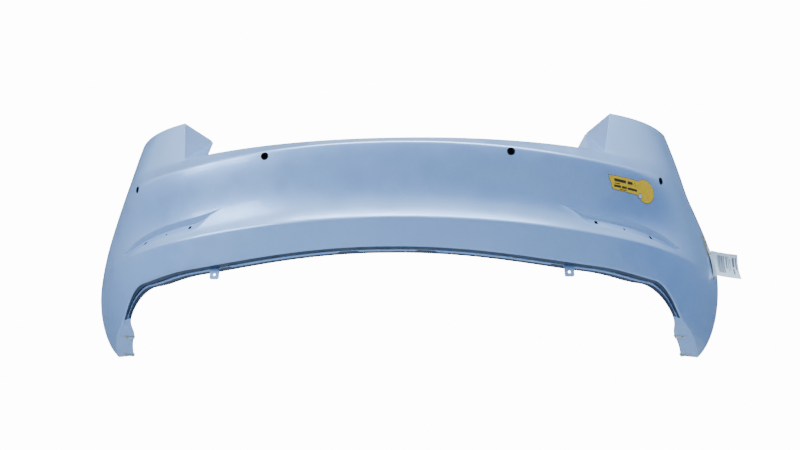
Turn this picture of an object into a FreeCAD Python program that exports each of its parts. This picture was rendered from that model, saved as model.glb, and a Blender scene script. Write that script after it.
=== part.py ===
"""Rear bumper cover of a mid-size saloon, millimetres.

Formulas are written in a car frame: X to the right, Y forward from the rearmost point, Z up from the road.
Every part is moved at the end so that the row's origin is the centre locator hole in the top flange.
"""
import FreeCAD, Part
import os
from math import acos, degrees, hypot, pi, sin, sqrt

os.makedirs("parts", exist_ok=True)
V = FreeCAD.Vector

# ---- driving dimensions ----
SKIN = 3.0                      # wall of the moulding
REACH = 640.0                   # depth of the wing curves before they are trimmed

# plan curves, each a cubic Bezier from the centre line to the wing: (X, Y) control points
CREST_PLAN = ((0, 0), (560, 0), (803, 150), (917, REACH))
BELLY_PLAN = ((0, 25), (560, 25), (801, 238), (993, REACH))
EAR_PLAN = ((0, 110), (470, 110), (815, 165), (880, REACH))

CREST_Z, CREST_DIP, CREST_DIP_SPAN = 655.0, 28.0, 0.9
BELLY_Z, BELLY_DROP, BELLY_TAIL = 467.0, 18.0, 35.0
SHELF_Z, SHELF_DIP, SHELF_W = 682.0, 6.0, 36.0
EAR_Z, EAR_RISE = 819.0, 13.0
LOW_Z = 405.0                   # lower edge at the centre
CENTRE_RISE, FLANK_RISE = 30.0, 12.0   # the centre of the lower edge stands above its flanks
CORNER_DROP, LEG_DROP = 72.0, 80.0     # the edge falls at the corners and again along the legs
UNDERCUT = 0.54                 # slope of the lower face at the centre, inward per mm down
TUCK, TUCK_HEIGHT = 152.0, 228.0  # roll-under of the legs
HOLLOW, SWELL = 14.0, 16.0      # main face: pinch above the belly line, swell of the wing
HOLLOW_FADE = (0.50, 0.38)      # where the pinch starts to fade and over how much of the plan parameter

EAR_ROOT, EAR_START = 0.44, 0.50   # plan parameter of the ear's inner edge, at its root and at its top
SHELF_MERGE = (0.40, 0.70)         # the shelf melts into the ear between these
EAR_TIP = V(546, 297, 814)         # foremost corner of the ear's return wall
RAMP_FOOT, RETURN_T = 0.362, 2.5   # plan parameter where the ramp meets the shelf; wall of return and ramp
FLANGE_W, CORNER_FLANGE_W, LEG_FLANGE_W = 57.0, 21.0, 47.0

ARCH_Y, ARCH_Z, ARCH_R = 905.0, 352.0, 360.0    # wheel arch circle, side view
SEAM_TOP_Z, SEAM_LOW_Z = 900.0, 562.0
SEAM = ((352, SEAM_TOP_Z), (364, 832), (400, 715), (421, 655), (490, 597))  # (Y, Z) down to the arch
LIP_W, LIP_T = 15.0, 2.5        # lip turned in along seam and arch

STEP_DOWN, TOP_FLANGE_W, TOP_FLANGE_T, TOP_FLANGE_END = 12.0, 46.0, 2.5, 0.34
LOCATOR_Y = SHELF_W + 25.0      # distance of the locator hole from the rearmost point
CLIP_HOLE_R = 4.0
CLIP_HOLE_X = (150.0, 290.0, 410.0)
ORIGIN = V(0, LOCATOR_Y, SHELF_Z - STEP_DOWN)

SENSORS = {"inner": (0.2035, 0.936), "outer": (0.603, 0.943)}   # (plan parameter, height on the face)
SENSOR_HOLE_R, SOCKET_R, SPIGOT_R = 10.0, 8.3, 9.7
HOLDER_FLANGE_R, BARREL_R = 19.0, 12.5
PAD_T, HOLDER_FLANGE_T, SOCKET_DEPTH, BACK_T = 1.2, 2.2, 20.0, 2.0
SHELF_AIR = 0.7                 # gap between a sensor holder and the shelf above it

POCKET = 9.0                    # depth of the reflector pocket
POCKET_TOP = ((421, 517), (466, 509), (548, 503), (640, 496), (712, 483), (768, 460))   # (X, Z)
POCKET_LOW = ((750, 457), (671, 466), (600, 471), (500, 477), (467, 497))
REFLECTOR_HOLES = ((516.0, 485.0, 10.0, True), (592.0, 476.0, 6.0, False), (670.0, 470.0, 10.0, True))
CUP_DEPTH, CUP_WALL = 7.0, 1.5  # blind cup moulded behind each reflector hole

SLOTS = ((-0.048, 0.048), (0.074, 0.297), (0.328, 0.672))   # long blind slots of the lower flange
SLOT_FROM, SLOT_TO, SLOT_DEPTH = 0.39, 0.50, 2.2
TAB_X, TAB_W, TAB_H, TAB_T, TAB_HOLE_R, TAB_ROOT = 444.0, 26.0, 30.0, 3.0, 3.2, 0.47
LEG_HOLES = (0.775, 0.880)      # plan parameters of the two screw holes in each leg
LEG_HOLE_R, NUT_L, NUT_W, NUT_T, NUT_GAP, NUT_AIR = 3.6, 20.0, 14.0, 0.9, 3.8, 0.4

VINYL = 0.35
# papers on the right wing, outlines in side view (Y, Z)
TAPE = ((416, 541), (434, 545), (474, 500), (452, 486))
FOLDED = ((452, 518), (492, 526), (530, 460), (490, 436))
FLAG_ROOT, FLAG_W, FLAG_H, FLAG_T = V(938, 548, 536), 84.0, 78.0, 0.6
FLAG_BOW, FLAG_LEAN, FLAG_DROOP = 9.0, 14.0, 10.0
CENTRE_POLES, WING_POLES = 37, 27
CLEAR = 20.0                    # how far a cutting body stands out of the surface it cuts


# ---- small helpers ----
def bezier(a, b, c, d, s):
    return (1 - s)**3 * a + 3 * (1 - s)**2 * s * b + 3 * (1 - s) * s * s * c + s**3 * d


def bezier_slope(a, b, c, d, s):
    return 3 * (1 - s)**2 * (b - a) + 6 * (1 - s) * s * (c - b) + 3 * s * s * (d - c)


def smooth(x):
    """Smooth step from 0 to 1."""
    x = min(max(x, 0.0), 1.0)
    return x * x * (3 - 2 * x)


def plan(curve, s):
    """Point of a plan curve; s runs from -1 at the left wing to 1 at the right."""
    side = 1 if s >= 0 else -1
    a = abs(s)
    return side * bezier(*(p[0] for p in curve), a), bezier(*(p[1] for p in curve), a)


def inward(curve, s):
    """Horizontal unit normal that points into the car."""
    side = 1 if s >= 0 else -1
    a = abs(s)
    dx = bezier_slope(*(p[0] for p in curve), a)
    dy = bezier_slope(*(p[1] for p in curve), a)
    length = hypot(dx, dy)
    return V(-side * dy / length, dx / length, 0)


# ---- rails of the outer surface ----
def crest(s):
    x, y = plan(CREST_PLAN, s)
    return V(x, y, CREST_Z - CREST_DIP * sin(pi * abs(s) / CREST_DIP_SPAN)**2)


def belly(s):
    x, y = plan(BELLY_PLAN, s)
    a = abs(s)
    return V(x, y, BELLY_Z - BELLY_DROP * smooth(a / 0.45) - BELLY_TAIL * a**4)


def ear_top(s):
    x, y = plan(EAR_PLAN, s)
    return V(x, y, EAR_Z + EAR_RISE * smooth((abs(s) - 0.4) / 0.4))


def shelf(s):
    """Forward edge of the narrow shelf above the crest; beside the ears it melts into the ear's face."""
    x, y = plan(CREST_PLAN, s)
    step = inward(CREST_PLAN, s) * SHELF_W
    edge = V(x, y, SHELF_Z - SHELF_DIP * sin(pi * min(abs(s), 0.35) / 0.7)**2) + step
    low, high = crest(s), ear_top(s)
    melted = low + (high - low) * 0.30
    k = smooth((abs(s) - SHELF_MERGE[0]) / (SHELF_MERGE[1] - SHELF_MERGE[0]))
    return edge + (melted - edge) * k


def low_edge_z(s):
    """Height of the lower edge: a flat arch that turns down into the two legs."""
    a = abs(s)
    corner = CORNER_DROP * smooth((a - 0.56) / 0.16) + LEG_DROP * smooth((a - 0.62) / 0.34)
    return LOW_Z - CENTRE_RISE * smooth(a / 0.4) - FLANK_RISE * smooth((a - 0.38) / 0.2) - corner


def low_face(s, z):
    """Face below the belly line, undercut at the centre and rolled under at the legs."""
    top = belly(s)
    drop = max(top.z - z, 0.0)
    a = abs(s)
    u = min(drop / TUCK_HEIGHT, 0.999)
    inset = UNDERCUT * (1 - min(a, 1)) * drop + TUCK * a**3 * (1 - sqrt(1 - u * u))
    return V(top.x, top.y, z) + inward(BELLY_PLAN, s) * inset


# ---- patches of the outer surface, each a function of (s, v) with v from 0 to 1 going up ----
def flange_patch(s, v):
    edge = low_face(s, low_edge_z(s))
    a = abs(s)
    corner = (FLANGE_W - CORNER_FLANGE_W) * smooth((a - 0.50) / 0.18)
    leg = (LEG_FLANGE_W - CORNER_FLANGE_W) * smooth((a - 0.68) / 0.09)
    return edge + inward(BELLY_PLAN, s) * ((FLANGE_W - corner + leg) * (1 - v))


def lower_patch(s, v):
    low = low_edge_z(s)
    return low_face(s, low + (belly(s).z - low) * v)


def face_patch(s, v):
    low, high = belly(s), crest(s)
    t = 1 - v
    a = abs(s)
    pinch = 6.75 * t * t * v * HOLLOW * (1 - smooth((a - HOLLOW_FADE[0]) / HOLLOW_FADE[1]))
    swell = 4 * t * v * SWELL * smooth((a - 0.55) / 0.45)
    return low + (high - low) * v + inward(BELLY_PLAN, s) * (pinch - swell)


def shelf_patch(s, v):
    return crest(s) + (shelf(s) - crest(s)) * v


def ear_patch(s, v):
    side = 1 if s >= 0 else -1
    along = (abs(s) - EAR_ROOT) / (1 - EAR_ROOT)
    top = ear_top(side * (EAR_START + (1 - EAR_START) * along))
    low = shelf(s)
    return low + (top - low) * v


BODY = ((flange_patch, 2), (lower_patch, 8), (face_patch, 9), (shelf_patch, 2))
EAR = (ear_patch, 2)


def normal(patch, s, v):
    """Outward unit normal of a patch."""
    ds, dv = 1e-3, 1e-3
    along = patch(s + ds, v) - patch(s - ds, v)
    up = patch(s, min(v + dv, 1)) - patch(s, max(v - dv, 0))
    return along.cross(up).normalize()


def joint_normal(first, second, s):
    """Mitred normal on the rail that two patches share."""
    a, b = normal(first, s, 1), normal(second, s, 0)
    mean = (a + b).normalize()
    return mean * (1 / max(mean.dot(a), 0.6))


# ---- spline faces and solids ----
def knots(count, degree):
    spans = count - degree
    return [float(i) for i in range(spans + 1)], [degree + 1] + [1] * (spans - 1) + [degree + 1]


def spline_face(rows, row_degree, across_degree):
    """Face whose control net is rows of points; neighbours that share a row share the edge."""
    u_knots, u_mults = knots(len(rows), across_degree)
    v_knots, v_mults = knots(len(rows[0]), row_degree)
    surface = Part.BSplineSurface()
    surface.buildFromPolesMultsKnots(rows, u_mults, v_mults, u_knots, v_knots,
                                     False, False, across_degree, row_degree)
    return surface.toShape()


def offset_rows(patches, index, stations, depth):
    """Rows of one patch, moved inward by depth."""
    patch, count = patches[index]
    rows = []
    for i in range(count):
        v = i / (count - 1)
        row = []
        for s in stations:
            if i == 0 and index > 0 and patch is not ear_patch:
                n = joint_normal(patches[index - 1][0], patch, s)
            elif i == count - 1 and index + 1 < len(patches) and patch is not shelf_patch:
                n = joint_normal(patch, patches[index + 1][0], s)
            elif patch is ear_patch and i == 0:
                n = normal(shelf_patch, s, 1)
            else:
                n = normal(patch, s, v)
            row.append(patch(s, v) - n * depth)
        rows.append(row)
    return rows


def wall_faces(patches, stations, near, far, start_cap, end_cap, top_cap):
    """Faces of a wall between two offset depths, with the caps asked for."""
    faces = []
    for index in range(len(patches)):
        outer = offset_rows(patches, index, stations, near)
        inner = offset_rows(patches, index, stations, far)
        across = 3 if len(outer) > 3 else 1
        faces.append(spline_face(outer, 3, across))
        faces.append(spline_face(inner, 3, across))
        if index == 0:
            faces.append(spline_face([outer[0], inner[0]], 3, 1))
        if index == len(patches) - 1 and top_cap:
            faces.append(spline_face([outer[-1], inner[-1]], 3, 1))
        ear = patches[index][0] is ear_patch
        for column, wanted in ((0, start_cap or (ear and stations[0] > 0)),
                               (-1, end_cap or (ear and stations[0] < 0))):
            if wanted:
                edges = [[row[column] for row in outer], [row[column] for row in inner]]
                faces.append(spline_face(edges, across, 1))
    return faces


def closed(faces):
    """One solid from faces that meet edge to edge."""
    skin = Part.makeCompound(faces)
    skin.sewShape(1e-3)
    solid = Part.Solid(skin.Shells[0])
    if solid.Volume < 0:
        solid.reverse()
    if not solid.isValid():
        solid.fix(1e-3, 1e-3, 1e-3)
    return solid


def spread(start, end, count):
    return [start + (end - start) * i / (count - 1) for i in range(count)]


def wall(near, far):
    """The whole cover, untrimmed, as a wall between two depths below the outer surface."""
    left = spread(-1, -EAR_ROOT, WING_POLES)
    middle = spread(-EAR_ROOT, EAR_ROOT, CENTRE_POLES)
    right = spread(EAR_ROOT, 1, WING_POLES)
    winged = BODY + (EAR,)
    faces = wall_faces(winged, left, near, far, True, False, True)
    faces += wall_faces(BODY, middle, near, far, False, False, True)
    faces += wall_faces(winged, right, near, far, False, True, True)
    return closed(faces)


def strip(rows_at, stations, lift):
    """Thin solid between the rows of rows_at(s) and the same rows moved by lift(s)."""
    count = len(rows_at(stations[0]))
    base = [[rows_at(s)[i] for s in stations] for i in range(count)]
    moved = [[rows_at(s)[i] + lift(s) for s in stations] for i in range(count)]
    faces = [spline_face(base, 3, 1), spline_face(moved, 3, 1)]
    faces += [spline_face([base[i], moved[i]], 3, 1) for i in (0, -1)]
    for column in (0, -1):
        faces.append(spline_face([[row[column] for row in base], [row[column] for row in moved]], 1, 1))
    return closed(faces)


def prism(points, direction):
    """Solid of a flat outline pushed along a direction."""
    return Part.Face(Part.makePolygon(list(points) + [points[0]])).extrude(direction)


def mirrored(shape):
    return shape.mirror(V(0, 0, 0), V(1, 0, 0))


def both_sides(shape):
    return [shape, mirrored(shape)]


def x_to_s(rail, x):
    """Plan parameter at which a rail reaches a given X."""
    low, high = 0.0, 1.0
    for _ in range(50):
        mid = (low + high) / 2
        if rail(mid).x < x:
            low = mid
        else:
            high = mid
    return low


# ---- trimming outline in side view ----
def trim_face():
    """What is kept of the wings, seen from the side: rear of the seam and of the wheel arch."""
    corner_y = ARCH_Y - sqrt(ARCH_R**2 - (SEAM_LOW_Z - ARCH_Z)**2)
    bottom = 150.0
    foot_y = ARCH_Y - sqrt(ARCH_R**2 - (ARCH_Z - bottom)**2)
    seam = Part.BSplineCurve()
    seam.interpolate([V(0, y, z) for y, z in SEAM + ((corner_y, SEAM_LOW_Z),)])
    corner, foot = V(0, corner_y, SEAM_LOW_Z), V(0, foot_y, bottom)
    arch = Part.Arc(corner, V(0, ARCH_Y - ARCH_R, ARCH_Z), foot)
    rear_low, rear_top = V(0, -80, bottom), V(0, -80, SEAM_TOP_Z)
    edges = [seam.toShape(), arch.toShape(), Part.makeLine(foot, rear_low),
             Part.makeLine(rear_low, rear_top), Part.makeLine(rear_top, V(0, *SEAM[0]))]
    return Part.Face(Part.Wire(edges))


def across_car(face, half=1200.0):
    moved = face.copy()
    moved.translate(V(-half, 0, 0))
    return moved.extrude(V(2 * half, 0, 0))


# ---- features of the moulding ----
def edge_lips():
    """Lips turned inward along the seam and the wheel arch."""
    keep = trim_face()
    inner = keep.copy()
    inner.translate(V(0, -LIP_T, 0))
    band = across_car(keep).cut(across_car(inner))
    front = Part.makeBox(2400, 700, 680, V(-1200, 330, 190))
    return band.common(front).common(wall(0.5, LIP_W))


def top_flange():
    """Stepped flange in front of the shelf, where the cover clips to the body."""
    def rows(s):
        edge, n = shelf(s), inward(CREST_PLAN, s)
        down = V(0, 0, -STEP_DOWN)
        return [edge - n * 2.0 + V(0, 0, -1.0), edge + n * 5.0 + down, edge + n * TOP_FLANGE_W + down]

    flange = strip(rows, spread(-TOP_FLANGE_END, TOP_FLANGE_END, 31), lambda s: V(0, 0, -TOP_FLANGE_T))
    for x in (0.0,) + CLIP_HOLE_X + tuple(-x for x in CLIP_HOLE_X):
        flange = flange.cut(Part.makeCylinder(CLIP_HOLE_R, 80, V(x, clip_hole_y(abs(x)), 620)))
    return flange


def clip_hole_y(x):
    s = x_to_s(crest, x)
    return (shelf(s) + inward(CREST_PLAN, s) * (LOCATOR_Y - SHELF_W)).y


def ear_returns():
    """Return wall on the ear's inner edge and the ramp below it."""
    top, root = ear_patch(EAR_ROOT, 1), ear_patch(EAR_ROOT, 0)
    n = normal(ear_patch, EAR_ROOT, 0.5)
    tip = EAR_TIP + V(0, 0, -2)
    inside = V(2.0, 0, 0) - n * 1.5
    side_wall = prism([top + inside - V(0, 0, 1), root + inside - V(0, 0, 4), tip], V(RETURN_T, 0, 0))
    foot = shelf(RAMP_FOOT)
    ramp = prism([root + V(6, 2, -1.5), foot + V(0, -2, -1.5), tip], V(0, 0, -RETURN_T))
    return both_sides(side_wall.fuse(ramp))


def pocket_outline(grow):
    """Leaf-shaped outline of the reflector pocket, seen from behind, grown by a margin."""
    def widened(points, rise):
        return [V(x, -100, z + rise) for x, z in points]

    tail, tip = V(POCKET_TOP[0][0] - 2 * grow, -100, POCKET_TOP[0][1]), V(POCKET_TOP[-1][0] + 2 * grow, -100,
                                                                          POCKET_TOP[-1][1])
    top, low = Part.BSplineCurve(), Part.BSplineCurve()
    top.interpolate([tail] + widened(POCKET_TOP[1:-1], grow) + [tip])
    low.interpolate([tip] + widened(POCKET_LOW, -grow) + [tail])
    return Part.Face(Part.Wire([top.toShape(), low.toShape()])).extrude(V(0, 600, 0))


def add_pockets(skin):
    """Pushes the pocket in: a deeper pan of the same wall, then its hollow and its clip holes."""
    pan = pocket_outline(SKIN).common(wall(0.8, POCKET + SKIN))
    hollow = pocket_outline(0).common(wall(-CLEAR, POCKET))
    for shape in both_sides(pan):
        skin = skin.fuse(shape)
    for shape in both_sides(hollow):
        skin = skin.cut(shape)
    shell = wall(POCKET + 1.0, POCKET + SKIN + CUP_DEPTH)
    open_part = wall(-CLEAR, POCKET + SKIN + CUP_DEPTH - CUP_WALL)
    for x, z, size, square in REFLECTOR_HOLES:
        for shape in both_sides(hole_tool(x, z, size + 2 * CUP_WALL, square).common(shell)):
            skin = skin.fuse(shape)
        for shape in both_sides(hole_tool(x, z, size, square).common(open_part)):
            skin = skin.cut(shape)
    return skin


def hole_tool(x, z, size, square):
    """Long square or round bar standing on the pocket's floor."""
    s = x_to_s(belly, x)
    rear, n = V(x, belly(s).y, z), inward(BELLY_PLAN, s)
    if square:
        tool = Part.makeBox(size, size, 120, V(-size / 2, -size / 2, 0))
    else:
        tool = Part.makeCylinder(size / 2, 120)
    tool.Placement = FreeCAD.Placement(rear - V(0, 60, 0), FreeCAD.Rotation(V(0, 0, 1), V(0, 1, 0)))
    tool.rotate(rear, V(0, 0, 1), degrees(acos(n.y)))
    return tool


def slot_cutter(start, end):
    def rows(s):
        return [flange_patch(s, 1 - SLOT_FROM) + V(0, 0, -6), flange_patch(s, 1 - SLOT_TO) + V(0, 0, -6)]

    return strip(rows, spread(start, end, 9), lambda s: V(0, 0, 6 + SLOT_DEPTH))


def corner_slot(start, end):
    """Slot that follows the flange round the corner, cut along the flange's own normal."""
    def rows(s):
        n = normal(flange_patch, s, 0.5)
        return [flange_patch(s, 1 - SLOT_FROM) + n * 5, flange_patch(s, 1 - SLOT_TO) + n * 5]

    return strip(rows, spread(start, end, 15), lambda s: normal(flange_patch, s, 0.5) * (-5 - SLOT_DEPTH))


def hanging_tab():
    """Small screw tab below the lower flange."""
    s = x_to_s(belly, TAB_X + 14)
    root = flange_patch(s, TAB_ROOT)
    top_z = root.z + 1.5
    y = root.y - TAB_T
    plate = Part.makeBox(TAB_W, TAB_T, TAB_H - TAB_W / 4, V(TAB_X - TAB_W / 2, y, top_z - TAB_H + TAB_W / 4))
    lower = Part.makeBox(TAB_W - 8, TAB_T, TAB_H, V(TAB_X - TAB_W / 2 + 4, y, top_z - TAB_H))
    hole = Part.makeCylinder(TAB_HOLE_R, 20, V(TAB_X, y - 8, top_z - TAB_H + 12), V(0, 1, 0))
    return plate.fuse(lower).cut(hole)


def leg_frame(s):
    """Point on the middle of a leg's flange and the flange's underside normal."""
    return flange_patch(s, 0.42), normal(flange_patch, s, 0.42)


def surface_frame(name):
    """Point and outward normal at a sensor hole on the right-hand side."""
    s, v = SENSORS[name]
    return face_patch(s, v), normal(face_patch, s, v)


def fascia_skin():
    skin = wall(0, SKIN).common(across_car(trim_face()))
    skin = add_pockets(skin)
    for shape in both_sides(corner_slot(*SLOTS[2])) + both_sides(slot_cutter(*SLOTS[1])):
        skin = skin.cut(shape)
    skin = skin.cut(slot_cutter(*SLOTS[0]))
    skin = skin.fuse(edge_lips())
    skin = skin.fuse(top_flange())
    for shape in ear_returns() + both_sides(hanging_tab()):
        skin = skin.fuse(shape)
    for name in SENSORS:
        point, n = surface_frame(name)
        for shape in both_sides(Part.makeCylinder(SENSOR_HOLE_R, 40, point + n * 15, n * -1)):
            skin = skin.cut(shape)
    for s in LEG_HOLES:
        point, n = leg_frame(s)
        for shape in both_sides(Part.makeCylinder(LEG_HOLE_R, 24, point + n * 12, n * -1)):
            skin = skin.cut(shape)
    return skin


# ---- fitted pieces ----
def above_shelf(name):
    """Block that holds the shelf and all that lies above it, with a little air below."""
    s, _ = SENSORS[name]
    n = normal(shelf_patch, s, 0.2)
    point = crest(s) - n * (SKIN + SHELF_AIR)
    block = Part.makeBox(160, 160, 80, V(-80, -80, 0))
    block.Placement = FreeCAD.Placement(point, FreeCAD.Rotation(V(0, 0, 1), n))
    return block


def sensor_pad(name, inner_skin):
    """Adhesive ring that follows the back of the skin."""
    point, n = surface_frame(name)
    buried = SKIN / 2
    depth = SKIN + PAD_T + 1.2 - buried
    ring = Part.makeCylinder(HOLDER_FLANGE_R - 1, depth, point - n * buried, n * -1)
    ring = ring.cut(Part.makeCylinder(SENSOR_HOLE_R + 1.5, depth + 8, point + n, n * -1))
    return ring.cut(inner_skin).cut(above_shelf(name))


def sensor_holder(name):
    """Blind socket with a flange, flattened below the shelf; its spigot fills the hole in the skin."""
    point, n = surface_frame(name)
    into = n * -1
    flange_at = SKIN + PAD_T + 1.2
    length = SOCKET_DEPTH + BACK_T
    body = Part.makeCylinder(HOLDER_FLANGE_R, HOLDER_FLANGE_T, point + into * flange_at, into)
    body = body.fuse(Part.makeCylinder(BARREL_R, length - flange_at, point + into * flange_at, into))
    for angle in (0, 90, 180, 270):
        rib = Part.makeBox(5, 2, 9, V(BARREL_R - 1, -1, 0))
        rib.rotate(V(0, 0, 0), V(0, 0, 1), angle)
        rib.Placement = FreeCAD.Placement(point + into * flange_at, FreeCAD.Rotation(V(0, 0, 1), into)) \
            .multiply(rib.Placement)
        body = body.fuse(rib)
    body = body.cut(above_shelf(name))
    body = body.fuse(Part.makeCylinder(SPIGOT_R, length - 0.6, point + into * 0.6, into))
    return body.cut(Part.makeCylinder(SOCKET_R, SOCKET_DEPTH + 1, point + n, into)).removeSplitter()


def clip_nut(s):
    """Folded steel nut pushed over the edge of a leg's flange."""
    point, n = leg_frame(s)
    edge = inward(BELLY_PLAN, s)
    along = n.cross(edge).normalize()
    across = along.cross(n).normalize()
    placement = FreeCAD.Placement(FreeCAD.Matrix(across.x, along.x, n.x, point.x, across.y, along.y, n.y, point.y,
                                                 across.z, along.z, n.z, point.z, 0, 0, 0, 1))
    reach = 0.42 * LEG_FLANGE_W + NUT_AIR + NUT_T
    under = Part.makeBox(NUT_L / 2 + reach, NUT_W, NUT_T, V(-NUT_L / 2, -NUT_W / 2, NUT_AIR))
    over = Part.makeBox(NUT_L / 2 + reach, NUT_W, NUT_T, V(-NUT_L / 2, -NUT_W / 2, -NUT_GAP - NUT_T))
    bend = Part.makeBox(NUT_T, NUT_W, NUT_GAP + 2 * NUT_T + NUT_AIR, V(reach - NUT_T, -NUT_W / 2, -NUT_GAP - NUT_T))
    collar = Part.makeCylinder(4.6, 4.0, V(0, 0, -NUT_GAP - NUT_T - 4.0))
    nut = under.fuse([over, bend, collar])
    nut = nut.cut(Part.makeCylinder(2.6, 30, V(0, 0, -15))).removeSplitter()
    nut.Placement = placement
    return nut


# ---- paper and vinyl ----
def decal():
    """Keyhole-shaped vinyl sticker on the right of the main face."""
    left, right, neck, centre, radius = 548.0, 640.0, 12.0, V(656, -60, 581), 28.0
    bar = Part.makePolygon([V(left, -60, 600), V(right, -60, 602), V(right + neck, -60, 566),
                            V(left + 13, -60, 567), V(left, -60, 600)])
    outline = Part.Face(bar).extrude(V(0, 400, 0))
    outline = outline.fuse(Part.makeCylinder(radius, 400, centre, V(0, 1, 0)))
    return outline.common(wall(-VINYL, 0)).removeSplitter()


def side_strip(outline, near, far):
    """Piece of paper or tape on the right wing: an outline in side view, (Y, Z)."""
    shape = prism([V(700, y, z) for y, z in outline], V(400, 0, 0))
    return shape.common(wall(near, far)).removeSplitter()


def label_flag(solid_skin):
    """Loose paper label stuck to the wing along one edge, gently curled."""
    def rows(v):
        near = FLAG_ROOT + V(0, FLAG_BOW * sin(pi * v) - 4 * v, -FLAG_H * v)
        return [near, near + V(FLAG_W, FLAG_LEAN, -FLAG_DROOP)]

    flag = strip(rows, spread(0, 1, 6), lambda v: V(0, FLAG_T, 0)).cut(solid_skin)
    return max(flag.Solids, key=lambda solid: solid.BoundBox.XMax)


# ---- build ----
def export(shape, name):
    shape = shape.copy()
    shape.translate(ORIGIN * -1)
    print("%-22s volume %10.0f valid %s solids %d" % (name, shape.Volume, shape.isValid(), len(shape.Solids)))
    shape.exportStep("parts/%s.step" % name)


def main():
    skin = fascia_skin()
    export(skin, "fascia_skin")
    solid_skin = wall(0, SKIN)
    for name in SENSORS:
        pad, holder = sensor_pad(name, solid_skin), sensor_holder(name)
        export(pad, "holder_pad_%s_right" % name)
        export(holder, "sensor_holder_%s_right" % name)
        export(mirrored(pad), "holder_pad_%s_left" % name)
        export(mirrored(holder), "sensor_holder_%s_left" % name)
    for place, s in zip(("front", "rear"), (LEG_HOLES[1], LEG_HOLES[0])):
        nut = clip_nut(s).cut(skin)
        export(nut, "clip_nut_%s_right" % place)
        export(mirrored(nut), "clip_nut_%s_left" % place)
    export(decal(), "decal")
    export(side_strip(TAPE, -VINYL, 0), "label_tape")
    export(side_strip(FOLDED, -1.0, -VINYL), "folded_label")
    export(label_flag(solid_skin), "label_flag")


main()
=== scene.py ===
"""Rear bumper cover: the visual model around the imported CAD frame, in metres.

Shape formulas are written in the car's frame: X to the right, Y forward from the rearmost point, Z up from
the road. to_row() moves them to the row's frame, whose origin is the centre locator hole of the top flange.
"""
import math

import bmesh
import bpy
import numpy as np
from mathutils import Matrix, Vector
from mathutils.bvhtree import BVHTree
from mathutils.geometry import delaunay_2d_cdt


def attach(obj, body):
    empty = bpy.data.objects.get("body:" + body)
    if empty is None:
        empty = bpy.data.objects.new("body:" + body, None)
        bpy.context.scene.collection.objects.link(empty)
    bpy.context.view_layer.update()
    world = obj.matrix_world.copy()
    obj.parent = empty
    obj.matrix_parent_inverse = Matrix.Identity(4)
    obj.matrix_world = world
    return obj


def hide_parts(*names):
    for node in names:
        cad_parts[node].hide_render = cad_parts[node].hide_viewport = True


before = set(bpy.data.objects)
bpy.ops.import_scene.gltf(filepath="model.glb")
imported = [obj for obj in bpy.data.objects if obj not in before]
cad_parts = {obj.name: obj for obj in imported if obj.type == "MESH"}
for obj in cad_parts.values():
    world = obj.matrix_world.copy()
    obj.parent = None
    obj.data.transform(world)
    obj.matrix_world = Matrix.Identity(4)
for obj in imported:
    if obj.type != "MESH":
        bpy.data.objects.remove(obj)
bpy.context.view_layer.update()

# ---- sizes of the moulding ----
SKIN = 0.003
REACH = 0.640
CREST_PLAN = ((0, 0), (0.560, 0), (0.803, 0.150), (0.917, REACH))
BELLY_PLAN = ((0, 0.025), (0.560, 0.025), (0.801, 0.238), (0.993, REACH))
EAR_PLAN = ((0, 0.110), (0.470, 0.110), (0.815, 0.165), (0.880, REACH))

CREST_Z, CREST_DIP, CREST_DIP_SPAN = 0.655, 0.028, 0.9
BELLY_Z, BELLY_DROP, BELLY_DROP_END, BELLY_TAIL = 0.467, 0.018, 0.45, 0.035
SHELF_Z, SHELF_DIP, SHELF_DIP_END, SHELF_W = 0.682, 0.006, 0.35, 0.036
EAR_Z, EAR_RISE, EAR_RISE_SPAN = 0.819, 0.013, (0.4, 0.4)
LOW_Z = 0.405
# a SPAN is where a change begins along the plan parameter, and over how much of it
CENTRE_RISE, CENTRE_SPAN = 0.030, (0.0, 0.4)
FLANK_RISE, FLANK_SPAN = 0.012, (0.38, 0.2)
CORNER_DROP, CORNER_SPAN = 0.072, (0.56, 0.16)
LEG_DROP, LEG_SPAN = 0.080, (0.62, 0.34)
UNDERCUT = 0.54
TUCK, TUCK_HEIGHT = 0.152, 0.228
HOLLOW, HOLLOW_FADE_SPAN = 0.014, (0.50, 0.38)
SWELL, SWELL_SPAN = 0.016, (0.55, 0.45)

EAR_ROOT, EAR_START, EAR_FLARE, EAR_FLARE_HEIGHT = 0.44, 0.50, 0.02, 0.13
EAR_FOOT = 0.10   # share of the ear's height where it rounds into the shelf
EAR_TIP = np.array((0.546, 0.297, 0.814))
RAMP_FOOT, RETURN_TIP_SIZE = 0.362, 0.04
EAR_EDGE_R = 0.0034
SHELF_MERGE_SPAN, SHELF_MELT = (0.40, 0.30), 0.30
FLANGE_W, CORNER_FLANGE_W, LEG_FLANGE_W = 0.057, 0.021, 0.047
NARROWING_SPAN, WIDENING_SPAN = (0.50, 0.18), (0.68, 0.09)

# radii of the long edges: at the middle, what they gain outward, and the span of that
LOW_CORNER_R = (0.0035, 0.0, (0.0, 1.0))
BELLY_R = (0.005, 0.007, (0.75, 0.2))
CREST_R = (0.0055, 0.022, (0.45, 0.30))
EAR_R = (0.0, 0.014, (EAR_ROOT - EAR_FLARE, 0.05))

ARCH_Y, ARCH_Z, ARCH_R = 0.905, 0.352, 0.360
SEAM_LOW_Z = 0.562
SEAM = ((0.597, 0.490), (0.655, 0.421), (0.715, 0.400), (0.832, 0.364), (0.900, 0.352))   # (Z, Y)
LIP_W, LIP_R, LIP_CORNER, LIP_GROWTH = 0.015, 0.004, 0.003, 0.8

STEP_DOWN, STEP_RUN, TOP_FLANGE_W, TOP_FLANGE_END = 0.012, 0.007, 0.046, 0.34
LOCATOR_Y = SHELF_W + 0.025
CLIP_HOLE_R, CLIP_HOLE_X = 0.004, (0.0, 0.150, 0.290, 0.410)

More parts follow.
